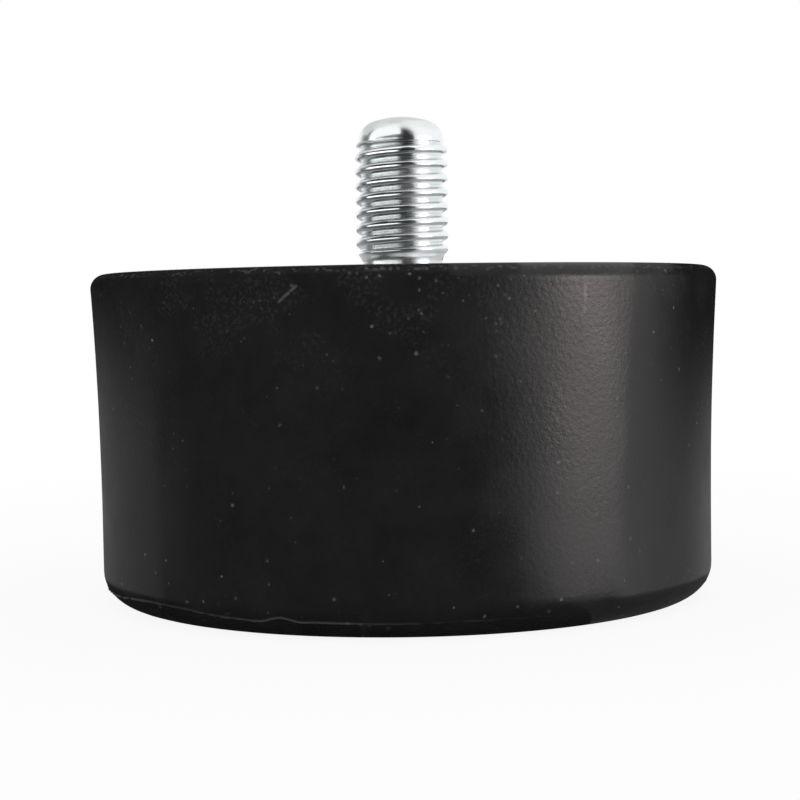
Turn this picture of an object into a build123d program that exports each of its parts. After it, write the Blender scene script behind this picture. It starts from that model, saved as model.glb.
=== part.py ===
from build123d import *
import os
from math import sqrt

# A bonded rubber mount with one stud. A rubber cylinder is vulcanised onto a steel insert,
# and the insert is a disc with a headed stud pressed up through its middle.
# Millimetres, +Z along the stud, origin at the centre of the rubber's lower face.

# Rubber: the rim's diameter is that of its corner before the corner is rounded
body_height = 34.0
waist_diameter = 64.1
rim_diameter = 65.7
flare_start = 8.0
rim_corner = 1.5
base_corner = 3.4

# Disc
disc_diameter = 61.0
disc_thickness = 3.0
disc_bevel = 0.8

# Stud, M10 x 1.5 with a rolled thread: crest_diameter is the envelope of the thread's crests,
# and blank_diameter is the rod that it was rolled on, which shows at the tip
stud_projection = 16.2
crest_diameter = 9.85
blank_diameter = 9.1
neck_diameter = 8.5
neck_length = 1.2
crown_radius = 9.5
tip_corner = 2.25
tip_length = 2.75

# Press-in shoulder and head of the stud
shoulder_diameter = 10.6
rib_count = 12
rib_height = 0.35
head_diameter = 18.0
head_thickness = 2.5
head_bevel = 0.5

# Heights: the disc lies flush with the rubber's upper face, and the head is under the disc
disc_underside = body_height - disc_thickness
head_underside = disc_underside - head_thickness
stud_tip = body_height + stud_projection

# The thread's envelope starts and ends in a 45 degree cone, as high as its step in radius
thread_bottom = body_height + neck_length + (crest_diameter - neck_diameter) / 2
blank_bottom = stud_tip - tip_length
thread_top = blank_bottom - (crest_diameter - blank_diameter) / 2

# Domed tip: a corner arc meets the blank's side and runs smoothly into the crown's arc.
# The corner's centre is as far from the crown's centre as their radii differ
corner_centre_radius = blank_diameter / 2 - tip_corner
centres_apart = crown_radius - tip_corner
corner_depth = crown_radius - sqrt(centres_apart**2 - corner_centre_radius**2)
crown_reach = corner_centre_radius * crown_radius / centres_apart
crown_depth = crown_radius - sqrt(crown_radius**2 - crown_reach**2)

# V-shaped ribs round the shoulder bite into the disc's hole, and stop the stud from turning
with BuildSketch(Plane.XY.offset(disc_underside)) as shoulder_outline:
    Circle(shoulder_diameter / 2)
    with PolarLocations(shoulder_diameter / 2 - rib_height, rib_count):
        RegularPolygon(radius=2 * rib_height, side_count=3)

# Stud: head, shoulder, neck, thread envelope and domed tip are one turned profile
with BuildPart() as threaded_stud:
    with BuildSketch(Plane.XZ):
        with BuildLine():
            head = Polyline(
                (0, head_underside),
                (head_diameter / 2 - head_bevel, head_underside),
                (head_diameter / 2, head_underside + head_bevel),
                (head_diameter / 2, disc_underside),
                (shoulder_diameter / 2, disc_underside),
                (shoulder_diameter / 2, body_height),
            )
            shank = Polyline(
                head @ 1,
                (neck_diameter / 2, body_height),
                (neck_diameter / 2, body_height + neck_length),
                (crest_diameter / 2, thread_bottom),
                (crest_diameter / 2, thread_top),
                (blank_diameter / 2, blank_bottom),
                (blank_diameter / 2, stud_tip - corner_depth),
            )
            corner = TangentArc(shank @ 1, (crown_reach, stud_tip - crown_depth), tangent=(0, 1))
            crown = TangentArc(corner @ 1, (0, stud_tip), tangent=corner % 1)
            Line(crown @ 1, head @ 0)
        make_face()
    revolve(axis=Axis.Z)
    extrude(shoulder_outline.sketch, amount=disc_thickness)

# Disc: punched from sheet, with a bevel on the side that the rubber grips and a sharp edge round the
# seat. Its hole has the shoulder's outline, as the ribs leave it
with BuildPart() as end_plate:
    with BuildSketch(Plane.XY.offset(disc_underside)):
        Circle(disc_diameter / 2)
        add(shoulder_outline.sketch, mode=Mode.SUBTRACT)
    extrude(amount=disc_thickness)
    lower_edges = end_plate.edges().filter_by(GeomType.CIRCLE).group_by(Axis.Z)[0]
    chamfer(lower_edges.sort_by(SortBy.RADIUS)[-1], disc_bevel)

# Rubber: away from the disc it shrinks to its waist, and it keeps the mould's width where it is bonded.
# It fills the mould round the insert, so the insert is taken out of it
with BuildPart() as rubber_body:
    with BuildSketch(Plane.XZ) as moulded_profile:
        with BuildLine():
            base = Line((0, 0), (waist_diameter / 2, 0))
            flank = Line(base @ 1, (waist_diameter / 2, flare_start))
            flare = TangentArc(flank @ 1, (rim_diameter / 2, body_height), tangent=(0, 1))
            Polyline(flare @ 1, (0, body_height), base @ 0)
        make_face()
        fillet(moulded_profile.vertices().sort_by_distance(flare @ 1)[0], rim_corner)
        fillet(moulded_profile.vertices().sort_by_distance(base @ 1)[0], base_corner)
    revolve(axis=Axis.Z)
    add(end_plate.part, mode=Mode.SUBTRACT)
    add(threaded_stud.part, mode=Mode.SUBTRACT)

rubber_body.part.label = "rubber_body"
end_plate.part.label = "end_plate"
threaded_stud.part.label = "threaded_stud"

os.makedirs("parts", exist_ok=True)
export_step(rubber_body.part, "parts/rubber_body.step")
export_step(end_plate.part, "parts/end_plate.step")
export_step(threaded_stud.part, "parts/threaded_stud.step")
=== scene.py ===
# %% [markdown]
# # A bonded rubber mount with one stud
# The object is a short black rubber cylinder, moulded onto a steel disc, with a zinc plated stud
# standing out of the middle of the disc. Its solids were made in CAD, and this script dresses them:
# it builds finer meshes for the rubber and the stud, gives all three pieces their finish, and lights
# them. The imported solids are loaded first, because every size below has to agree with them. The imported
# solids are loaded first, because every size below is checked against them.
# The CAD's frame is kept: +Z runs along the stud, the rubber's lower face is at z = 0, and Blender
# counts in metres, so lengths are written in millimetres and multiplied by `mm` at the end.

# %% Load the imported solids
import math
import bmesh
import bpy
import numpy as np
from mathutils import Matrix, Vector, noise


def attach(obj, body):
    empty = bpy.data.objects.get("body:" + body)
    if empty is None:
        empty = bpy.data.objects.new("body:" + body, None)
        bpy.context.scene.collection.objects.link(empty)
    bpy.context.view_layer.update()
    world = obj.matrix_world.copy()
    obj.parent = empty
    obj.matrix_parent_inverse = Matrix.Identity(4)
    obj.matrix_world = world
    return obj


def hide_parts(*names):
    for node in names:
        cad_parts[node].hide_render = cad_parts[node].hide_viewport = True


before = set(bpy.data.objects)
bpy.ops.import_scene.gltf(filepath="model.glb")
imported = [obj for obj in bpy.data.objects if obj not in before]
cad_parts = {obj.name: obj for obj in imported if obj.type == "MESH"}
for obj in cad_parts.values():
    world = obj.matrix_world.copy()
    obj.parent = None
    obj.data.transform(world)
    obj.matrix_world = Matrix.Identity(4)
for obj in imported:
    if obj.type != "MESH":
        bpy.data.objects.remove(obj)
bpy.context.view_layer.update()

mm = 0.001
print("CAD nodes:", sorted(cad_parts))

# %% [markdown]
# ## The sizes that the meshes share with the solids
# A finer mesh that stands for a solid has to fill the same space, so it starts from the same
# numbers. They could be read off the solid's vertices, but a turned part is easier to follow as a
# list of radii and heights.

# %% Sizes in millimetres
body_height = 34.0
waist_radius = 32.05
rim_radius = 32.85
flare_start = 8.0
rim_corner = 1.5
base_corner = 3.4
disc_radius = 30.5
disc_thickness = 3.0
disc_bevel = 0.8
head_radius = 9.0
head_thickness = 2.5
head_bevel = 0.5
stud_tip = 50.2
disc_underside = body_height - disc_thickness
head_underside = disc_underside - head_thickness

# %% [markdown]
# ## A skin over rows of points
# The rubber, the stud and its thread are all round. A Screw or a Spin modifier turns a profile into
# such a shape, but then every point of a ring is alike, and real rubber and a real thread aren't.
# So each ring is a row of points that can move one by one, and one function joins the rows with
# faces. `seam` tells which row a row meets after a whole turn. In a plain ring that is the row
# itself. In a thread it is a row one pitch higher, and that one change makes a true helix.

# %% Join rows of points into a closed mesh
def skin(name, rows, seam=None):
    """Makes an object from an array of rows, columns and xyz in millimetres."""
    count, columns = rows.shape[:2]
    seam = np.arange(count) if seam is None else seam
    index = np.arange(count * columns).reshape(count, columns)
    around = np.column_stack([index, index[seam, 0]])
    corners = (around[:-1, :-1], around[:-1, 1:], around[1:, 1:], around[1:, :-1])
    faces = np.stack(corners, axis=-1).reshape(-1, 4)
    mesh = bpy.data.meshes.new(name)
    mesh.from_pydata((rows.reshape(-1, 3) * mm).tolist(), [], faces.tolist())
    piece = bpy.data.objects.new(name, mesh)
    bpy.context.scene.collection.objects.link(piece)
    return piece


def close_and_smooth(piece, sharp_angle):
    """Merges points that lie on one spot, drops faces with no area, and shades the mesh smooth."""
    work = bmesh.new()
    work.from_mesh(piece.data)
    bmesh.ops.remove_doubles(work, verts=work.verts, dist=1e-8)
    bmesh.ops.dissolve_degenerate(work, dist=1e-9, edges=work.edges)
    bmesh.ops.recalc_face_normals(work, faces=work.faces)
    open_edges = sum(1 for edge in work.edges if len(edge.link_faces) != 2)
    triangles = sum(len(face.verts) - 2 for face in work.faces)
    volume = work.calc_volume() / mm**3
    work.to_mesh(piece.data)
    work.free()
    piece.data.shade_smooth()
    piece.data.set_sharp_from_angle(angle=sharp_angle)
    print(f"{piece.name}: {triangles} triangles, {open_edges} open edges, {volume:.0f} mm3")


# %% Helpers for arcs and soft steps
def arc(centre, radius, start, end, steps):
    """Points on an arc in the plane of radius and height, with its angles in degrees."""
    angles = np.radians(np.linspace(start, end, steps))
    return [(centre[0] + radius * math.cos(a), centre[1] + radius * math.sin(a)) for a in angles]


def soft_step(low, high, value):
    """Runs smoothly from 0 at low to 1 at high."""
    t = np.clip((np.asarray(value, float) - low) / (high - low), 0.0, 1.0)
    return t * t * (3.0 - 2.0 * t)


def wander(points, size, seed):
    """Smooth noise from -1 to 1 at points in millimetres, with features of about `size`."""
    shift = Vector((seed * 17.3, seed * 5.1, seed * 29.7))
    flat = points.reshape(-1, 3) / size
    values = [noise.noise(Vector(point) + shift) for point in flat.tolist()]
    return np.array(values).reshape(points.shape[:-1])


print("a soft step half way:", float(soft_step(0, 2, 1)))

# %% [markdown]
# ## The rubber's profile
# The mould gives the rubber a rounded lower corner, a straight flank that grows wider towards the
# disc, and a small rounded rim. The rubber shrinks as it cools, but where it is bonded to the disc
# it can't, and that is why the waist is narrower than the rim. The profile goes from the middle of
# the lower face, round the outside, over the rim, and then down the pocket that holds the disc and
# the stud's head, so the piece is one closed solid. Points lie closest together where the surface
# turns, and closest of all where the line of flash runs round the lower corner.

# %% Profile of the rubber, from the middle of the lower face to the pocket
flare_rise = rim_radius - waist_radius
flare_length = body_height - flare_start
flare_radius = (flare_rise**2 + flare_length**2) / (2 * flare_rise)


def flank_radius(height):
    """The outside of the rubber above the lower corner, in millimetres."""
    above = np.maximum(np.asarray(height, float) - flare_start, 0.0)
    return waist_radius + flare_radius - np.sqrt(flare_radius**2 - above**2)


flash_height = 1.72
corner_centre = (waist_radius - base_corner, base_corner)
flash_angle = math.degrees(math.asin((flash_height - base_corner) / base_corner))
rim_start = body_height - rim_corner
rim_centre = (float(flank_radius(rim_start)) - rim_corner, rim_start)

profile = [(radius, 0.0) for radius in (0.0, 8.0, 16.0, 22.0, 26.0, 28.0)]
profile += arc(corner_centre, base_corner, -90, flash_angle - 9, 9)
profile += arc(corner_centre, base_corner, flash_angle - 8, flash_angle + 7, 26)
profile += arc(corner_centre, base_corner, flash_angle + 9, -1, 5)
profile += [(float(flank_radius(height)), height) for height in np.linspace(3.5, rim_start - 0.2, 54)]
profile += arc(rim_centre, rim_corner, 0, 90, 18)
profile += [(30.9, body_height), (disc_radius + 0.05, body_height)]
film_rows = len(profile)
profile += [(disc_radius, body_height + 0.02), (disc_radius - 0.02, body_height), (disc_radius, body_height)]
profile += [(disc_radius, body_height - 1.0), (disc_radius, disc_underside + disc_bevel)]
profile += [(disc_radius - disc_bevel, disc_underside), (20.0, disc_underside), (head_radius, disc_underside)]
profile += [(head_radius, head_underside + head_bevel), (head_radius - head_bevel, head_underside)]
profile += [(0.0, head_underside)]
profile = np.array(profile)
print(len(profile), "rows, flash at", round(flash_angle, 1), "degrees on the lower corner")

# %% [markdown]
# ## What the mould leaves on the rubber
# A moulded flank isn't perfectly round: it has shallow waves of a few hundredths of a millimetre,
# which show only as a slow wobble in a soft highlight. Where the mould's two halves meet, a thin
# ragged fin of rubber is left and roughly trimmed. It could be painted on with a bump, but a fin
# catches light on its upper side and throws a shadow on its lower side, so it is real geometry.
# The rows near the fin first follow its wandering line, and then a narrow hump is lifted on them.
# All waves go inward, so that only the fin stands proud of the solid. On the right of the camera the
# real fin was trimmed almost flush, so there it keeps a fifth of its height.

# %% A grid of points for the rubber
rubber_columns = 600
turn = np.arange(rubber_columns) * 2 * math.pi / rubber_columns
radius = np.repeat(profile[:, :1], rubber_columns, axis=1)
height = np.repeat(profile[:, 1:], rubber_columns, axis=1)
circle = np.stack([np.cos(turn), np.sin(turn), np.zeros_like(turn)], axis=1) * waist_radius


def near(angle_degrees, half_width_degrees):
    """1 at one place round the object, falling to 0 at half_width_degrees to each side."""
    away = np.degrees(np.abs(np.angle(np.exp(1j * (turn - math.radians(angle_degrees))))))
    return 1.0 - soft_step(0.0, half_width_degrees, away)


print(rubber_columns, "columns round the rubber")

# %% Let the line of flash wander, with one clear kink at the front left
flash_drift = 0.16 * wander(circle, 9.0, 1) + 0.07 * wander(circle, 2.2, 2)
flash_drift += 0.34 * near(-111.5, 4.0) + 0.5 * near(-139.0, 22.0) + 0.35 * near(-40.0, 25.0)
flash_drift = np.clip(flash_drift, -0.4, 1.0)

# The rows of the corner slide along its arc, most at the flash and not at all at its ends
corner_angle = np.degrees(np.arctan2(height - corner_centre[1], radius - corner_centre[0]))
from_centre = np.hypot(radius - corner_centre[0], height - corner_centre[1])
on_corner = np.abs(from_centre - base_corner) < 1e-6
pull = np.where(corner_angle < flash_angle, soft_step(-90.0, flash_angle - 9, corner_angle),
                1.0 - soft_step(flash_angle + 7, 0.0, corner_angle))
slide = np.degrees(flash_drift / (base_corner * math.cos(math.radians(flash_angle))))
moved_angle = np.radians(corner_angle + pull * slide * on_corner)
radius = np.where(on_corner, corner_centre[0] + base_corner * np.cos(moved_angle), radius)
height = np.where(on_corner, corner_centre[1] + base_corner * np.sin(moved_angle), height)
print("flash drift in mm:", round(float(flash_drift.min()), 2), "to", round(float(flash_drift.max()), 2))

# %% Lift the fin: about 0.1 mm proud, ragged, and worn away in places
fin_width = 0.1
thinnest = 0.03
ragged_rise = 0.13
off_flash = (corner_angle - flash_angle) * math.radians(1.0) * base_corner
fin_shape = np.exp(-(off_flash / fin_width) ** 2) * on_corner
ragged = 0.5 + 0.5 * wander(circle, 1.1, 3) + 0.35 * wander(circle, 0.45, 4)
fin_left = soft_step(0.15, 0.75, ragged + 0.4 * near(-108.0, 16.0) + 0.25 * wander(circle, 14.0, 5))
trimmed_side = np.minimum(1.0, 2.2 * near(-35.0, 60.0))
fin_height = (thinnest + ragged_rise * fin_left) * (1.0 - 0.8 * trimmed_side)
proud = fin_shape * fin_height
radius = radius + proud * np.cos(moved_angle)
height = height + proud * np.sin(moved_angle)
print("fin height in mm, at most:", round(float(fin_height.max()), 3))

# %% Waves of the flank and the rim, and the film that laps over the disc
flank = (profile[:, 1] > 3.0) & (profile[:, 0] > 31.0)
points = np.stack([radius * np.cos(turn), radius * np.sin(turn), height], axis=-1)
waves = np.zeros_like(radius)
waves[flank] = 0.014 * wander(points[flank], 13.0, 6) + 0.009 * wander(points[flank], 4.0, 7) - 0.022
radius = radius + waves

film_reach = 0.25 + 0.3 * (wander(circle, 6.0, 8) + 0.5 * wander(circle, 1.6, 9))
film_reach = np.clip(film_reach, 0.03, 0.9)
radius[film_rows] -= film_reach * 0.9
radius[film_rows + 1] -= film_reach
rows = np.stack([radius * np.cos(turn), radius * np.sin(turn), height], axis=-1)
reach_range = [round(float(value), 2) for value in (film_reach.min(), film_reach.max())]
print("film over the disc's edge in mm, least and most:", reach_range)

# %% [markdown]
# ## The rubber as a piece
# The material needs to know where the flash is, because its torn edge is paler than the moulded
# skin. A mask could be worked out again inside the material, but the mesh already has it, so it is
# stored as an attribute with one number per point.

# %% Make the rubber
rubber = skin("rubber_moulding", rows)
torn = fin_shape * soft_step(0.03, 0.14, fin_height)
attribute = rubber.data.attributes.new("torn_flash", "FLOAT", "POINT")
attribute.data.foreach_set("value", torn.reshape(-1).astype(np.float32))
close_and_smooth(rubber, math.radians(50))
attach(rubber, "root")
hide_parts("rubber_body")
print("points with the flash attribute:", len(rubber.data.attributes["torn_flash"].data))

# %% [markdown]
# ## The thread
# The stud is M10 with a pitch of 1.5 mm. Its thread is rolled: hardened dies press grooves into a
# plain rod, and the metal that leaves a groove rises beside it as a crest. Crests and roots are
# therefore rounded, and at both ends the groove just fades out. A thread could be swept with a
# Screw modifier, but that can't fade out, so the radius is a function of the angle and the height.
# The rows climb one pitch in each turn, as the crest does, and so the crest lies along a row.

# %% Radius of the stud at each angle and height
pitch = 1.5
crest_radius = 4.915
crest_round = 0.50
root_round = 0.15
flank_angle = math.radians(31.0)
first_crest = body_height + 2.22
neck_radius = 4.25
blank_radius = 4.55
crown_radius = 9.5
tip_corner = 2.25

crest_reach = crest_round * math.cos(flank_angle)
root_reach = root_round * math.cos(flank_angle)
flank_drop = (pitch / 2 - crest_reach - root_reach) / math.tan(flank_angle)
thread_depth = (crest_round + root_round) * (1 - math.sin(flank_angle)) + flank_drop


def drop_beside_crest(away):
    """How far the thread falls below its crest: a round crest, a straight flank and a round root."""
    on_crest = np.minimum(away, crest_reach)
    on_flank = np.clip(away - crest_reach, 0.0, pitch / 2 - crest_reach - root_reach)
    to_root = np.minimum(pitch / 2 - away, root_reach)
    crest_drop = crest_round - np.sqrt(crest_round**2 - on_crest**2)
    root_rise = root_round - np.sqrt(root_round**2 - to_root**2)
    in_root = away > pitch / 2 - root_reach
    return np.where(in_root, thread_depth - root_rise, crest_drop + on_flank / math.tan(flank_angle))


def height_over_crest(angle, level):
    """Distance above the nearest crest below, from 0 to one pitch."""
    turns = (level - first_crest) / pitch - angle / (2 * math.pi)
    return (turns - np.floor(turns)) * pitch


def thread_left(level):
    """1 where the thread has its full height, falling to 0 at its two ends."""
    return soft_step(35.0, 36.7, level) * (1.0 - soft_step(47.05, 47.55, level))


def thread_radius(angle, level):
    """The rolled thread, which fades into the neck below and into the blank above."""
    above = height_over_crest(angle, level)
    drop = drop_beside_crest(np.minimum(above, pitch - above))
    plain = neck_radius + (blank_radius - neck_radius) * soft_step(35.0, 36.2, level)
    return plain + thread_left(level) * (crest_radius - drop - plain)


print("root radius in mm:", round(float(thread_radius(0.0, first_crest + 6.5 * pitch)), 3))

# %% Columns of the stud, set closer where the ribs of its shoulder stand
ribs = 12
rib_height = 0.35
shoulder_radius = 5.3
rib_spacing = 360 / ribs
rib_slope = math.tan(math.radians(30))
rib_foot = math.degrees(rib_height * rib_slope / shoulder_radius)
between_ribs = np.linspace(rib_foot, rib_spacing - rib_foot, 18)[:-1]
next_rib = [rib_spacing - rib_foot, rib_spacing - rib_foot * 0.5]
sector = np.concatenate([[0.0, rib_foot * 0.5], between_ribs, next_rib])
stud_turn = np.radians(np.concatenate([sector + rib_spacing * rib for rib in range(ribs)]))
off_rib = np.abs((np.degrees(stud_turn) + rib_spacing / 2) % rib_spacing - rib_spacing / 2)
rib_side = (shoulder_radius + rib_height) / (1 + np.tan(np.radians(off_rib)) / rib_slope)
shoulder = np.maximum(shoulder_radius, rib_side / np.cos(np.radians(off_rib)))
columns = len(stud_turn)


def level_row(radius_there, level):
    """One ring of the stud at one height."""
    radius_there = np.broadcast_to(radius_there, columns)
    return np.stack([radius_there * np.cos(stud_turn), radius_there * np.sin(stud_turn),
                     np.full(columns, level)], axis=-1)


print(columns, "columns round the stud, for", ribs, "ribs")

# %% Rows of the stud: head, shoulder and neck, then the thread, then the domed tip
lower = [level_row(0.0, head_underside), level_row(head_radius - head_bevel, head_underside)]
lower += [level_row(head_radius, head_underside + head_bevel), level_row(head_radius, disc_underside)]
lower += [level_row(shoulder, disc_underside), level_row(shoulder, body_height)]
foot = arc((neck_radius + 0.3, body_height + 0.3), 0.3, -90, -180, 6)
lower += [level_row(foot_radius, level) for foot_radius, level in foot]

thread_bottom = foot[-1][1]
corner_centre_radius = blank_radius - tip_corner
corner_level = stud_tip - crown_radius + math.sqrt((crown_radius - tip_corner) ** 2 - corner_centre_radius**2)
thread_top = corner_level - 0.02
steps = 30
climb = np.arange(math.ceil((thread_top - thread_bottom + pitch) / pitch * steps) + 1) / steps - 1.0
levels = thread_bottom + pitch * (climb[:, None] + stud_turn[None, :] / (2 * math.pi))
levels = np.clip(levels, thread_bottom, thread_top)
threaded = thread_radius(stud_turn[None, :], levels)
middle = np.stack([threaded * np.cos(stud_turn), threaded * np.sin(stud_turn), levels], axis=-1)

meets = math.degrees(math.acos(corner_centre_radius / (crown_radius - tip_corner)))
upper = arc((corner_centre_radius, corner_level), tip_corner, 0, meets, 16)
upper += arc((0.0, stud_tip - crown_radius), crown_radius, meets, 90, 14)[1:]
upper = [level_row(tip_radius, level) for tip_radius, level in upper]
print(f"{columns} columns, thread from z {thread_bottom:.2f} to {thread_top:.2f} mm in {len(climb)} rows")

# %% [markdown]
# ## Painted shade on the thread
# The flank just under each crest gets a band of painted shade, and the groove's run-out at the tip
# gets a painted shadow on the side that faces front left. The band could be worked out from the
# radius alone, but the two flanks of a groove have equal radii, and only the one under the crest is
# dark. So the shade is worked out per point, from the distance below the crest.

# %% Where the painted shade lies
below = pitch - height_over_crest(stud_turn[None, :], levels)
thread_painted_shade = soft_step(0.08, 0.20, below) * (1.0 - soft_step(0.34, 0.46, below)) * thread_left(levels)
# The run-out on the front-left side gets a painted shadow.
run_out = soft_step(46.95, 47.15, levels) * (1.0 - soft_step(47.42, 47.55, levels))
shaded_azimuth = math.radians(-135.0)
shaded_side = soft_step(0.35, 0.75, np.cos(stud_turn - shaded_azimuth))
thread_painted_shade = np.maximum(thread_painted_shade, 1.4 * run_out * shaded_side[None, :])
print("share of the thread's points with film:", round(float((thread_painted_shade > 0.5).mean()), 3))

# %% [markdown]
# ## The stud as a piece
# The seam of the threaded rows joins each of them to the row one pitch above. The first and the
# last turn are squeezed flat onto the plain rings below and above, where their points fall
# together and are merged, so the thread runs out without a step.

# %% Make the stud
rows = np.concatenate([np.array(lower), middle, np.array(upper)])
seam = np.arange(len(rows))
first = len(lower)
last = first + len(middle) - 1
seam[first:last + 1] = np.minimum(np.arange(first, last + 1) + steps, last)
stud = skin("threaded_stud_rolled", rows, seam)
shade_there = np.concatenate([np.zeros((first, columns)), thread_painted_shade, np.zeros((len(upper), columns))])
# The painted shade is stored on the points as an attribute.
attribute = stud.data.attributes.new("painted_shade_under_crest", "FLOAT", "POINT")
attribute.data.foreach_set("value", shade_there.reshape(-1).astype(np.float32))
close_and_smooth(stud, math.radians(42))
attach(stud, "root")
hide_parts("threaded_stud")
widest = max(math.hypot(v.co.x, v.co.y) for v in stud.data.vertices if v.co.z > 0.0345)
print("radius over the crests in mm:", round(widest / mm, 3))

# %% [markdown]
# ## Nodes, in few words
# Every finish below is a tree of shader nodes that works from the object's own coordinates, so it
# needs no picture and no unwrapping, and it stays on the surface in every view. These helpers add
# a node and wire its sockets in one call. A value may be a number or the output of another node.

# %% Node helpers
def put(tree, kind, settings=None, inputs=None):
    """Adds a node, sets its properties, and feeds its inputs with numbers or other outputs."""
    made = tree.nodes.new(kind)
    for name, value in (settings or {}).items():
        setattr(made, name, value)
    for name, value in (inputs or {}).items():
        feed(tree, made.inputs[name], value)
    return made


def feed(tree, socket, value):
    """Links an output to the socket, or sets the socket's own value."""
    if isinstance(value, bpy.types.NodeSocket):
        tree.links.new(value, socket)
    else:
        socket.default_value = value


def calc(tree, operation, *values, clamp=False):
    """A Math node."""
    made = put(tree, "ShaderNodeMath", {"operation": operation, "use_clamp": clamp})
    for socket, value in zip(made.inputs, values):
        feed(tree, socket, value)
    return made.outputs[0]


def spread(tree, value, low, high, to_low=0.0, to_high=1.0):
    """A Map Range node with soft ends."""
    limits = {"Value": value, "From Min": low, "From Max": high, "To Min": to_low, "To Max": to_high}
    return put(tree, "ShaderNodeMapRange", {"interpolation_type": "SMOOTHSTEP"}, limits).outputs[0]


def mix_colour(tree, factor, below, above):
    """A Mix node for two colours."""
    made = put(tree, "ShaderNodeMix", {"data_type": "RGBA"})
    feed(tree, made.inputs[0], factor)
    feed(tree, made.inputs[6], below)
    feed(tree, made.inputs[7], above)
    return made.outputs[2]


def vector_math(tree, operation, inputs):
    """A Vector Math node."""
    return put(tree, "ShaderNodeVectorMath", {"operation": operation}, inputs)


def noise_texture(tree, place, scale, detail):
    """A Noise Texture node."""
    return put(tree, "ShaderNodeTexNoise", None, {"Vector": place, "Scale": scale, "Detail": detail})


def millimetres(tree):
    """The object's own coordinates, in millimetres."""
    place = put(tree, "ShaderNodeTexCoord").outputs["Object"]
    return vector_math(tree, "SCALE", {0: place, "Scale": 1000.0}).outputs[0]


def from_line(tree, place, start, end):
    """Distance of a place from a straight line between two points, in millimetres."""
    along = Vector(end) - Vector(start)
    offset = vector_math(tree, "SUBTRACT", {0: place, 1: start}).outputs[0]
    scaled = vector_math(tree, "DOT_PRODUCT", {0: offset, 1: along / along.length_squared})
    share = calc(tree, "ADD", scaled.outputs["Value"], 0.0, clamp=True)
    nearest = vector_math(tree, "SCALE", {0: along, "Scale": share}).outputs[0]
    return vector_math(tree, "DISTANCE", {0: offset, 1: nearest}).outputs["Value"]


def new_group(name, inputs, outputs):
    """An empty node group with number sockets."""
    group = bpy.data.node_groups.new(name, "ShaderNodeTree")
    for label, value in inputs.items():
        socket = group.interface.new_socket(name=label, in_out="INPUT", socket_type="NodeSocketFloat")
        socket.default_value = value
    for label in outputs:
        group.interface.new_socket(name=label, in_out="OUTPUT", socket_type="NodeSocketFloat")
    return group, group.nodes.new("NodeGroupInput"), group.nodes.new("NodeGroupOutput")


def use(tree, group, **inputs):
    """Places a group in a material with the material's own values."""
    made = put(tree, "ShaderNodeGroup", {"node_tree": group})
    for label, value in inputs.items():
        feed(tree, made.inputs[label.replace("_", " ")], value)
    return made


print("helpers are ready")

# %% [markdown]
# ## Effects that the finishes share
# Rubber and zinc have three things in common: a fine relief, clouds of slightly different tone, and
# dust. Each is a node group that is built once, and each material places it with its own sizes.
# Relief is noise at two sizes. Clouds are slow noise. Dust is a set of random points in space: a
# point that happens to lie at the surface makes a speck, and how near it lies makes its size.

# %% Groups for relief and clouds
relief, given, result = new_group("fine_relief", {"Grain mm": 0.5}, ["Height"])
place = millimetres(relief)
per_grain = calc(relief, "DIVIDE", 1.0, given.outputs["Grain mm"])
coarse = noise_texture(relief, place, per_grain, 2.0)
finer = calc(relief, "MULTIPLY", per_grain, 2.7)
fine = noise_texture(relief, place, finer, 2.0)
both = calc(relief, "MULTIPLY_ADD", fine.outputs[0], 0.35, coarse.outputs[0])
feed(relief, result.inputs["Height"], both)

clouds, given, result = new_group("soft_clouds", {"Size mm": 6.0, "Shift": 0.0}, ["Cloud"])
place = millimetres(clouds)
moved = vector_math(clouds, "ADD", {0: place, 1: given.outputs["Shift"]})
per_cloud = calc(clouds, "DIVIDE", 1.0, given.outputs["Size mm"])
slow = noise_texture(clouds, moved.outputs[0], per_cloud, 4.0)
feed(clouds, result.inputs["Cloud"], spread(clouds, slow.outputs[0], 0.3, 0.7))

print("groups:", [group.name for group in (relief, clouds)])

# %% Group for dust, with specks that differ in size, brightness and outline
dust, given, result = new_group("dust_specks", {"Spacing mm": 1.6, "Speck mm": 0.15, "Share": 0.5}, ["Speck"])
place = millimetres(dust)
per_cell = calc(dust, "DIVIDE", 1.0, given.outputs["Spacing mm"])
bend = noise_texture(dust, place, 2.5, 1.0).outputs["Color"]
bent = vector_math(dust, "MULTIPLY_ADD", {0: bend, 1: (0.25, 0.25, 0.25), 2: place}).outputs[0]
cell_inputs = {"Vector": bent, "Scale": per_cell, "Randomness": 1.0}
cells = put(dust, "ShaderNodeTexVoronoi", None, cell_inputs)
away = calc(dust, "MULTIPLY", cells.outputs["Distance"], given.outputs["Spacing mm"])
draw = put(dust, "ShaderNodeSeparateColor", None, {"Color": cells.outputs["Color"]})
speck = calc(dust, "MULTIPLY", calc(dust, "ADD", draw.outputs[1], 0.35), given.outputs["Speck mm"])
inside = calc(dust, "SUBTRACT", 1.0, calc(dust, "DIVIDE", away, speck), clamp=True)
chosen = calc(dust, "LESS_THAN", draw.outputs[0], given.outputs["Share"])
brightness = calc(dust, "MULTIPLY_ADD", calc(dust, "POWER", draw.outputs[2], 2.5), 0.7, 0.3)
seen = calc(dust, "MULTIPLY", calc(dust, "MULTIPLY", spread(dust, inside, 0.0, 0.7), chosen), brightness)
feed(dust, result.inputs["Speck"], seen)
print("dust inputs:", [item.name for item in dust.interface.items_tree if item.in_out == "INPUT"])
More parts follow.
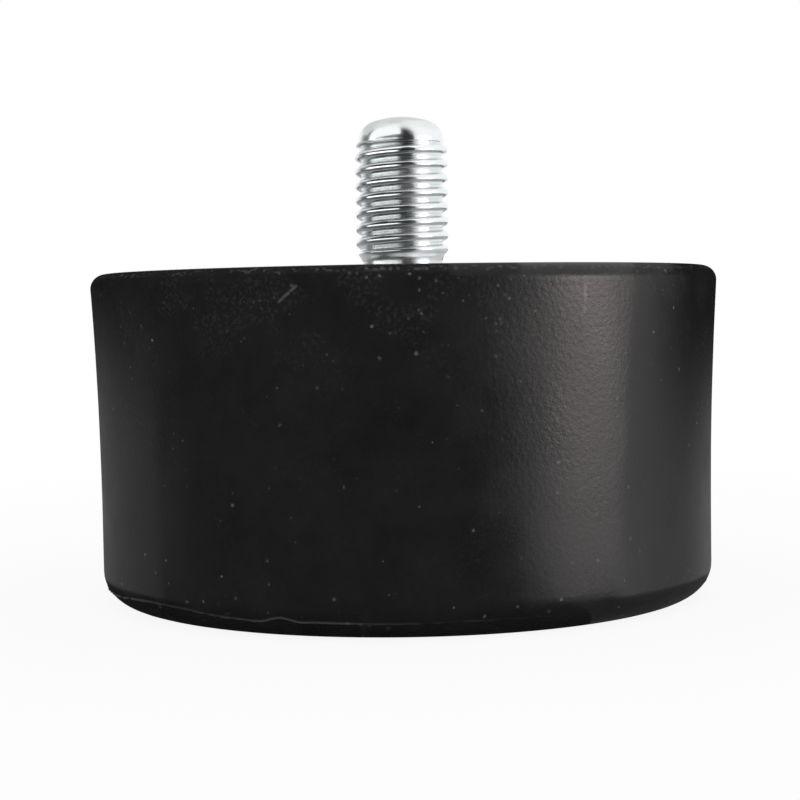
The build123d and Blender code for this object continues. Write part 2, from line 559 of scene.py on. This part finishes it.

# %% [markdown]
# ## The rubber's finish
# Carbon black makes this rubber almost black, and the mould's worn steel gives it a satin skin with
# a fine orange peel. Its colour alone says little: what shows is the soft reflection on it, so
# roughness and relief carry the look. Slow clouds in both keep it from being flat. Dust lies on it,
# more of it near the lower corner and gathered in patches under the rim. The torn flash is grey, and
# a grey band on the rim's rubbed edge is also a painted highlight. A short pale hair and a painted
# glint are drawn as straight lines, each by the distance of a point from the line, because a random
# pattern can't put them in one place.

# %% Start a material
def new_material(name, **fixed):
    """A material with a Principled shader, whose fixed values are set on its own sockets."""
    material = bpy.data.materials.new(name)
    material.use_nodes = True
    tree = material.node_tree
    shader = tree.nodes["Principled BSDF"]
    for label, value in fixed.items():
        shader.inputs[label.replace("_", " ")].default_value = value
    return material, tree, shader


print("new materials are called with the shader's fixed values")

# %% The rubber's skin tone, in two sizes of cloud
rubber_finish, tree, shader = new_material("moulded_black_rubber", Metallic=0.0)
place = millimetres(tree)
axes = put(tree, "ShaderNodeSeparateXYZ", None, {0: place})
across = axes.outputs["X"]
level = axes.outputs["Z"]
cloud = use(tree, clouds, Size_mm=7.0).outputs[0]
small_cloud = use(tree, clouds, Size_mm=1.8, Shift=40.0).outputs[0]
skin_tone = mix_colour(tree, cloud, (0.0085, 0.0085, 0.0088, 1), (0.0125, 0.0122, 0.012, 1))
light_spots = calc(tree, "MULTIPLY", small_cloud, 0.3)
skin_tone = mix_colour(tree, light_spots, skin_tone, (0.016, 0.0158, 0.0155, 1))
print("skin tone nodes:", len(tree.nodes))

# %% Dust on the rubber: single specks all over, and fine dust gathered in patches
low_band = spread(tree, level, 8.0, 3.0)
high_band = spread(tree, level, 22.0, 31.0)
share = calc(tree, "MULTIPLY_ADD", calc(tree, "ADD", low_band, high_band), 0.4, 0.35)
specks = use(tree, dust, Spacing_mm=1.15, Speck_mm=0.20, Share=share).outputs[0]
fine_dust = use(tree, dust, Spacing_mm=0.8, Speck_mm=0.17, Share=0.5).outputs[0]
gathered = spread(tree, use(tree, clouds, Size_mm=4.5, Shift=23.0).outputs[0], 0.35, 0.8)
gathered = calc(tree, "MULTIPLY", gathered, calc(tree, "ADD", calc(tree, "MULTIPLY", high_band, 0.8), 0.2))
smudge = spread(tree, use(tree, clouds, Size_mm=0.33, Shift=5.0).outputs[0], 0.45, 1.0)
fine_dust = calc(tree, "ADD", calc(tree, "MULTIPLY", fine_dust, 0.5), calc(tree, "MULTIPLY", smudge, 0.1))
dusty = calc(tree, "ADD", specks, calc(tree, "MULTIPLY", fine_dust, gathered), clamp=True)
print("with dust:", len(tree.nodes))

# %% Where the rubber is torn or rubbed: the flash, mostly left of the middle, and the rim's edge, whose grey band is also a painted highlight
flash_mask = put(tree, "ShaderNodeAttribute", {"attribute_name": "torn_flash"}).outputs["Fac"]
# A grey band along the rim's upper edge, broken into bits: rubbed edge and painted highlight together.
rim_line = calc(tree, "MULTIPLY", spread(tree, level, 33.3, 33.5), spread(tree, level, 33.85, 33.7))
rim_bits = spread(tree, use(tree, clouds, Size_mm=0.5, Shift=11.0).outputs[0], 0.5, 1.0)
rim_wear_and_highlight = calc(tree, "MULTIPLY", rim_line, rim_bits)
torn_here = calc(tree, "MULTIPLY", spread(tree, across, -24.0, -15.0), spread(tree, across, 2.0, -7.0))
torn_here = calc(tree, "MULTIPLY_ADD", torn_here, 0.65, 0.12)
torn_flash = calc(tree, "MULTIPLY", flash_mask, torn_here)
wear_and_rim_highlight = calc(tree, "MAXIMUM", torn_flash, calc(tree, "MULTIPLY", rim_wear_and_highlight, 0.6))
colour = mix_colour(tree, wear_and_rim_highlight, skin_tone, (0.075, 0.073, 0.07, 1))
colour = mix_colour(tree, dusty, colour, (0.115, 0.115, 0.11, 1))
print("with worn places:", len(tree.nodes))

# %% A hair that lies under the rim, and a painted glint in the highlight
from_hair = from_line(tree, place, (-11.24, -30.67, 30.76), (-9.56, -31.31, 32.16))
hair = spread(tree, from_hair, 0.2, 0.05, 0.0, 0.75)
# A painted glint: a short pale streak that stands in for a sparkle in the soft highlight.
from_glint = from_line(tree, place, (16.65, -28.25, 32.1), (16.5, -28.15, 29.5))
painted_glint = spread(tree, from_glint, 0.3, 0.08, 0.0, 0.8)
broken_up = use(tree, clouds, Size_mm=0.7, Shift=31.0).outputs[0]
hair_and_glint = calc(tree, "MULTIPLY", calc(tree, "MAXIMUM", hair, painted_glint), broken_up)
colour = mix_colour(tree, hair_and_glint, colour, (0.10, 0.098, 0.09, 1))
feed(tree, shader.inputs["Base Color"], colour)
print("with marks:", len(tree.nodes))

# %% Roughness and relief of the rubber
rough = spread(tree, cloud, 0.0, 1.0, 0.27, 0.34)
rough = calc(tree, "MULTIPLY_ADD", wear_and_rim_highlight, 0.3, rough)
rough = calc(tree, "MULTIPLY_ADD", spread(tree, level, 33.0, 33.6), 0.15, rough)
rough = calc(tree, "MULTIPLY_ADD", dusty, 0.4, rough, clamp=True)
feed(tree, shader.inputs["Roughness"], rough)
orange_peel = use(tree, relief, Grain_mm=0.45).outputs[0]
orange_peel = calc(tree, "MULTIPLY", orange_peel, spread(tree, level, 6.0, 24.0, 0.4, 1.0))
bumped = put(tree, "ShaderNodeBump", None, {"Strength": 1.0, "Distance": 0.000030, "Height": orange_peel})
feed(tree, shader.inputs["Normal"], bumped.outputs[0])
rubber.data.materials.append(rubber_finish)
print("rubber nodes:", len(tree.nodes))

# %% [markdown]
# ## The zinc finishes
# Both steel pieces are zinc plated. Zinc has a cool, slightly blue tone, is much brighter than the
# rubber, and mirrors its surroundings in a soft way. On the stud the rolled crests are polished and
# the roots are rougher, with a little painted shade in them. The radius tells them apart, and the
# attribute on the mesh gives the painted shade under each crest. The disc is sheet metal, with a
# matter zinc and clouds where it was rinsed and dried. It keeps its CAD mesh, because a flat disc
# needs no finer one.

# %% Bright zinc for the stud
stud_finish, tree, shader = new_material("bright_zinc_thread", Metallic=1.0)
place = millimetres(tree)
axes = put(tree, "ShaderNodeSeparateXYZ", None, {0: place})
flat = put(tree, "ShaderNodeCombineXYZ", None, {"X": axes.outputs["X"], "Y": axes.outputs["Y"], "Z": 0.0})
from_axis = vector_math(tree, "LENGTH", {0: flat.outputs[0]}).outputs["Value"]
above_disc = spread(tree, axes.outputs["Z"], 34.4, 35.4)
in_root = calc(tree, "MULTIPLY", spread(tree, from_axis, 4.45, 4.1), above_disc)
cloud = use(tree, clouds, Size_mm=2.2, Shift=3.0).outputs[0]
zinc = mix_colour(tree, cloud, (0.84, 0.87, 0.885, 1), (0.91, 0.93, 0.94, 1))
# Painted shade under each crest and at the run-out darkens the zinc towards a dark grey.
shade_under_crest_mask = put(tree, "ShaderNodeAttribute", {"attribute_name": "painted_shade_under_crest"}).outputs["Fac"]
zinc = mix_colour(tree, calc(tree, "MULTIPLY", shade_under_crest_mask, 0.5), zinc, (0.25, 0.26, 0.255, 1))
# Painted shade darkens the roots a little, and the roots are also rougher.
zinc = mix_colour(tree, calc(tree, "MULTIPLY", in_root, 0.12), zinc, (0.42, 0.43, 0.43, 1))
specks = use(tree, dust, Spacing_mm=0.8, Speck_mm=0.08, Share=0.4).outputs[0]
zinc = mix_colour(tree, calc(tree, "MULTIPLY", specks, 0.6), zinc, (0.25, 0.25, 0.24, 1))
feed(tree, shader.inputs["Base Color"], zinc)
rough = spread(tree, cloud, 0.0, 1.0, 0.16, 0.26)
rough = calc(tree, "MULTIPLY_ADD", in_root, 0.12, rough)
feed(tree, shader.inputs["Roughness"], calc(tree, "MULTIPLY_ADD", specks, 0.3, rough, clamp=True))
grain = use(tree, relief, Grain_mm=0.22).outputs[0]
bumped = put(tree, "ShaderNodeBump", None, {"Strength": 0.6, "Distance": 0.000006, "Height": grain})
feed(tree, shader.inputs["Normal"], bumped.outputs[0])
stud.data.materials.append(stud_finish)
print("stud nodes:", len(tree.nodes))

# %% Matter zinc for the disc
plate_finish, tree, shader = new_material("zinc_plated_sheet", Metallic=1.0)
cloud = use(tree, clouds, Size_mm=9.0, Shift=7.0).outputs[0]
fine_cloud = use(tree, clouds, Size_mm=1.2, Shift=19.0).outputs[0]
zinc = mix_colour(tree, cloud, (0.50, 0.52, 0.53, 1), (0.64, 0.66, 0.66, 1))
zinc = mix_colour(tree, calc(tree, "MULTIPLY", fine_cloud, 0.35), zinc, (0.72, 0.74, 0.74, 1))
specks = use(tree, dust, Spacing_mm=1.8, Speck_mm=0.18, Share=0.5).outputs[0]
zinc = mix_colour(tree, calc(tree, "MULTIPLY", specks, 0.8), zinc, (0.12, 0.115, 0.11, 1))
feed(tree, shader.inputs["Base Color"], zinc)
rough = spread(tree, cloud, 0.0, 1.0, 0.32, 0.46)
feed(tree, shader.inputs["Roughness"], calc(tree, "MULTIPLY_ADD", specks, 0.3, rough, clamp=True))
grain = use(tree, relief, Grain_mm=0.35).outputs[0]
bumped = put(tree, "ShaderNodeBump", None, {"Strength": 0.7, "Distance": 0.00001, "Height": grain})
feed(tree, shader.inputs["Normal"], bumped.outputs[0])
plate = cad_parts["end_plate"]
plate.data.materials.clear()
plate.data.materials.append(plate_finish)
print("plate finish on", plate.name)

# %% [markdown]
# ## Floor and world
# The photograph has a plain white background. The floor is a white disc, and the world is white
# for the camera, for reflections and for anything seen through glass. For diffuse light the world
# is dimmer, so that the background doesn't wash out the black rubber. Light Path tells these rays
# apart, and the floor keeps a tenth of its plain diffuse shader, which is where the shadow shows.

# %% World
scene = bpy.context.scene
world = bpy.data.worlds.new("white_world")
scene.world = world
world.use_nodes = True
tree = world.node_tree
tree.nodes.clear()


def white_rays(tree):
    """1 for the rays that should see a white background: camera, glossy and transmission rays."""
    path = put(tree, "ShaderNodeLightPath")
    either = calc(tree, "MAXIMUM", path.outputs["Is Camera Ray"], path.outputs["Is Glossy Ray"])
    return calc(tree, "MAXIMUM", either, path.outputs["Is Transmission Ray"])


strength = spread(tree, white_rays(tree), 0.0, 1.0, 0.85, 1.0)
sky = put(tree, "ShaderNodeBackground", None, {"Color": (1, 1, 1, 1), "Strength": strength})
put(tree, "ShaderNodeOutputWorld", None, {"Surface": sky.outputs[0]})
print("world nodes:", len(tree.nodes))

# %% Floor
def stage_piece(name, mesh, material):
    """Adds an object that belongs to the studio and not to the mount."""
    made = bpy.data.objects.new(name, mesh)
    scene.collection.objects.link(made)
    made.data.materials.append(material)
    return made


floor_radius = 3.0
floor_corners = 96
floor_mesh = bpy.data.meshes.new("floor")
around = np.linspace(0, 2 * math.pi, floor_corners + 1)[:-1]
edge = [(floor_radius * math.cos(a), floor_radius * math.sin(a), 0.0) for a in around]
floor_mesh.from_pydata(edge, [], [list(range(floor_corners))])
floor_white = bpy.data.materials.new("pale_floor")
floor_white.use_nodes = True
tree = floor_white.node_tree
tree.nodes.clear()
lit = put(tree, "ShaderNodeBsdfDiffuse", None, {"Color": (0.9, 0.9, 0.9, 1)})
glow = put(tree, "ShaderNodeEmission", None, {"Color": (1, 1, 1, 1), "Strength": 1.0})
place = put(tree, "ShaderNodeTexCoord").outputs["Object"]
far = vector_math(tree, "LENGTH", {0: place}).outputs["Value"]
share = calc(tree, "MULTIPLY", spread(tree, far, 0.04, 0.20, 0.90, 1.0), white_rays(tree))
mixed = put(tree, "ShaderNodeMixShader", None, {0: share, 1: lit.outputs[0], 2: glow.outputs[0]})
put(tree, "ShaderNodeOutputMaterial", None, {"Surface": mixed.outputs[0]})
stage_piece("floor", floor_mesh, floor_white)
print("floor radius in metres:", floor_radius)

# %% [markdown]
# ## Cards, flags, lips and mats that only reflections see
# Black rubber and bright zinc show little but what they mirror, and in an all white room they turn
# milky. A photographer stands black, grey and white cards just out of the picture for that, and
# these do the same job. They are toned to this photograph: the graded grey on both sides of the
# rubber comes from them, and not from the rubber's material. Each is a strip between two rings
# round the object that gives off its own tone and is hidden from every ray but a glossy one, so it
# lights nothing and throws no shadow. The far cards stand on a wall 0.3 m away and are mirrored by
# the thread and the disc. The flags stand a few millimetres from the rubber, from the floor to just
# over its rim, and are mirrored by its sides. Lips close the gap over the rim, mats lie on the floor
# and are mirrored by the lower corner, and panels and a small screen shape the light on the dome.
# Angles count from the camera, positive to its right.

# %% A card's material and its mesh
def card_material(name, grey, top_grey=None, fade_from=0.0, fade_to=1.0):
    """A card that gives off its own tone, which may fade to another between two heights in metres."""
    material = bpy.data.materials.new(name)
    material.use_nodes = True
    inner = material.node_tree
    inner.nodes.clear()
    place = put(inner, "ShaderNodeTexCoord").outputs["Object"]
    height_there = put(inner, "ShaderNodeSeparateXYZ", None, {0: place}).outputs["Z"]
    top_grey = grey if top_grey is None else top_grey
    strength = spread(inner, height_there, fade_from, fade_to, grey, top_grey)
    tone = put(inner, "ShaderNodeEmission", None, {"Color": (1, 1, 1, 1), "Strength": strength})
    put(inner, "ShaderNodeOutputMaterial", None, {"Surface": tone.outputs[0]})
    return material


def reflections_only(name, line_a, line_b, material):
    """A strip between two lines of points in metres, hidden from everything but glossy rays."""
    count = len(line_a)
    mesh = bpy.data.meshes.new(name)
    mesh.from_pydata(line_a + line_b, [], [(i, i + 1, i + 1 + count, i + count) for i in range(count - 1)])
    card = stage_piece(name, mesh, material)
    card.visible_camera = False
    card.visible_diffuse = False
    card.visible_transmission = False
    card.visible_volume_scatter = False
    card.visible_shadow = False
    return card


def round_line(start, end, reach, level, end_level=None):
    """Points round the object. Angles are degrees to the right of the camera, lengths are metres."""
    angles = np.radians(np.linspace(start, end, 49) - 90.0)
    levels = np.linspace(level, level if end_level is None else end_level, 49)
    return [(reach * math.cos(a), reach * math.sin(a), z) for a, z in zip(angles, levels)]


def ring_card(name, start, end, low, high, material):
    """A card between two rings, each given as its reach and level, and a second level if it climbs."""
    reflections_only(name, round_line(start, end, *low), round_line(start, end, *high), material)


print("cards have", len(round_line(0, 90, 1.0, 0.0)), "points along each edge")

# %% Tones and places of the cards
black = card_material("black_card", 0.02)
low_grey = card_material("low_grey_mat", 0.09)
dim = card_material("dim_card", 0.3)
ceiling = card_material("ceiling_card", 0.7)
panel = card_material("white_panel", 1.1)
bright_floor = card_material("bright_floor_card", 1.7)
fading_left = card_material("fading_card_left", 0.23, 0.02, 0.014, 0.034)
fading_dim = card_material("fading_card_dim", 0.09, 0.02, 0.014, 0.032)
fading_right = card_material("fading_card_right", 0.31, 0.02, 0.006, 0.030)
wall = 0.30
wall_top = 1.20
on_floor = 0.0004
flag_foot = (0.036, on_floor)
flag_top = (0.036, 0.0345)
flag_fade = (0.006, 0.030)
over_rim = (0.0302, 0.0348)
under_corner = (0.0293, 0.00005)
panel_level = 0.100
print("flags stand", flag_foot[0] - rim_radius * mm, "m from the rim")

# %% Cards on the wall and flags beside the rubber
for name, start, end, low, high, material in (
        ("card_front", -8, 36, (wall, 0.0), (wall, 0.70), black),
        ("card_front_high", -8, 36, (wall, 0.70), (wall, wall_top), ceiling),
        ("card_back_high", 168, 255, (wall, 0.16), (wall, wall_top), ceiling),
        ("flag_front", -47, 12, flag_foot, flag_top, black),
        ("flag_dim", -55, -47, flag_foot, flag_top, fading_dim),
        ("flag_left", -180, -55, flag_foot, flag_top, fading_left),
        ("flag_right", 65.4, 180, flag_foot, flag_top, fading_right)):
    ring_card(name, start, end, low, high, material)

# The right flag starts in strips that grow darker, low tone and high tone each
strip_start = 44.4
strip_width = 3.5
strip_tones = ((0.76, 0.8), (0.65, 0.58), (0.56, 0.42), (0.47, 0.28), (0.40, 0.17), (0.35, 0.09))
for step, (low_tone, high_tone) in enumerate(strip_tones):
    start = strip_start + strip_width * step
    strip = card_material(f"flag_tone_{step}", low_tone, high_tone, *flag_fade)
    ring_card(f"flag_right_{step}", start, start + strip_width, flag_foot, flag_top, strip)
print("flag strips:", len(strip_tones))

# %% Cards overhead and on the left, with a graded side behind them
for name, start, end, low, high, material in (
        ("card_ceiling", -180, 180, (wall, wall_top), (0.001, wall_top), ceiling),
        ("card_floor_left", -94, -8, (wall, 0.0), (wall, 0.095), bright_floor),
        ("card_left", -94, -8, (wall, 0.095), (wall, wall_top), black),
        ("screen_dome", -66, 0, (0.007, 0.0479, 0.0494), (0.007, 0.055), panel),
        ("card_side_high", -180, -94, (wall, 0.34), (wall, wall_top), ceiling)):
    ring_card(name, start, end, low, high, material)
side_end = -94
side_width = 7
for step, tone in enumerate((0.10, 0.12, 0.16, 0.28, 0.48, 0.75)):
    end = side_end - side_width * step
    side = card_material(f"side_tone_{step}", tone)
    ring_card(f"card_side_{step}", end - side_width, end, (wall, 0.0), (wall, 0.34), side)
print("the graded side ends at", end - side_width, "degrees")

# %% Panels over the disc, lips over the rim and mats on the floor
for name, start, end, low, high, material in (
        ("panel_left", -90, 0, (0.032, panel_level), (0.0, panel_level), panel),
        ("panel_right", 30, 90, (0.052, panel_level), (0.0, panel_level), panel),
        ("lip_left", -180, 8, flag_top, over_rim, black),
        ("lip_dim", 8, 20, flag_top, over_rim, dim),
        ("lip_bright", 20, 44, flag_top, over_rim, ceiling),
        ("lip_dim_right", 44, 56, flag_top, over_rim, dim),
        ("lip_right", 56, 180, flag_top, over_rim, black),
        ("mat_left", -118, -94, under_corner, (wall, on_floor), black),
        ("mat_near_left", -94, -8, under_corner, flag_foot, black),
        ("mat_front", -8, 35, under_corner, (wall, on_floor), black),
        ("mat_near_right", 35, 92, under_corner, (0.045, on_floor), low_grey),
        ("mat_back_left", -180, -118, under_corner, (0.055, on_floor), fading_left),
        ("mat_back_right", 92, 180, under_corner, (0.055, on_floor), fading_right),
        ("mat_far_right", 35, 48, (0.12, on_floor), (wall, on_floor), dim),
        ("mat_white_left", -94, -8, flag_foot, (wall, on_floor), bright_floor)):
    ring_card(name, start, end, low, high, material)

# %% [markdown]
# ## Lamps
# One soft box stands low to the right and makes the broad upright highlight on the rubber and the
# white side of the stud. It is faintly warm, as the highlight in the photograph is. The even white
# world does the rest, so there is no second lamp.

# %% Soft box
def soft_box(name, azimuth, reach, level, width, tall, power, colour, aim):
    """A rectangular area lamp. Azimuth is degrees to the right of the camera, aim a point in metres."""
    data = bpy.data.lights.new(name, "AREA")
    data.shape = "RECTANGLE"
    data.size = width
    data.size_y = tall
    data.energy = power
    data.color = colour
    lamp = bpy.data.objects.new(name, data)
    angle = math.radians(azimuth - 90.0)
    lamp.location = (reach * math.cos(angle), reach * math.sin(angle), level)
    lamp.rotation_euler = (Vector(aim) - lamp.location).to_track_quat("-Z", "Y").to_euler()
    lamp.visible_camera = False
    scene.collection.objects.link(lamp)
    return lamp


soft_box("soft_box_right", azimuth=64, reach=0.28, level=0.03, width=0.12, tall=0.14, power=0.20,
         colour=(1.0, 0.85, 0.83), aim=(0, 0, 0.025))

# %% [markdown]
# ## Camera
# The camera's height, distance and tilt were worked out from the outline of the rubber in the
# photograph: how far the lower edge bows, how much the upper edge bows the other way, and how the
# width changes with height. It stands a little lower than the rubber's upper face, which is why
# that face can't be seen. The lens is long, and it is worked out for a square frame 800 pixels wide.

# %% Camera from the outline in the photograph
distance = 196.9 * mm
camera_height = 29.88 * mm
focal_pixels = 1853.0
frame_pixels = 800.0
yaw = math.radians(-0.154)
pitch_down = math.radians(2.783)
roll = math.radians(-0.918)
level_share = math.cos(pitch_down)
look = Vector((math.sin(yaw) * level_share, math.cos(yaw) * level_share, -math.sin(pitch_down)))
level_right = Vector((math.cos(yaw), -math.sin(yaw), 0.0))
level_up = level_right.cross(look)
right = level_right * math.cos(roll) + level_up * math.sin(roll)
up = level_up * math.cos(roll) - level_right * math.sin(roll)
camera_data = bpy.data.cameras.new("camera")
camera_data.sensor_width = 36.0
camera_data.lens = focal_pixels / frame_pixels * camera_data.sensor_width
camera_data.clip_start = 0.01
camera_data.clip_end = 20.0
camera = bpy.data.objects.new("camera", camera_data)
scene.collection.objects.link(camera)
turned = Matrix((right, up, -look)).transposed().to_4x4()
camera.matrix_world = Matrix.Translation((0.0, -distance, camera_height)) @ turned
scene.camera = camera
scene.view_settings.view_transform = "Standard"
print("lens in mm:", round(camera_data.lens, 1))
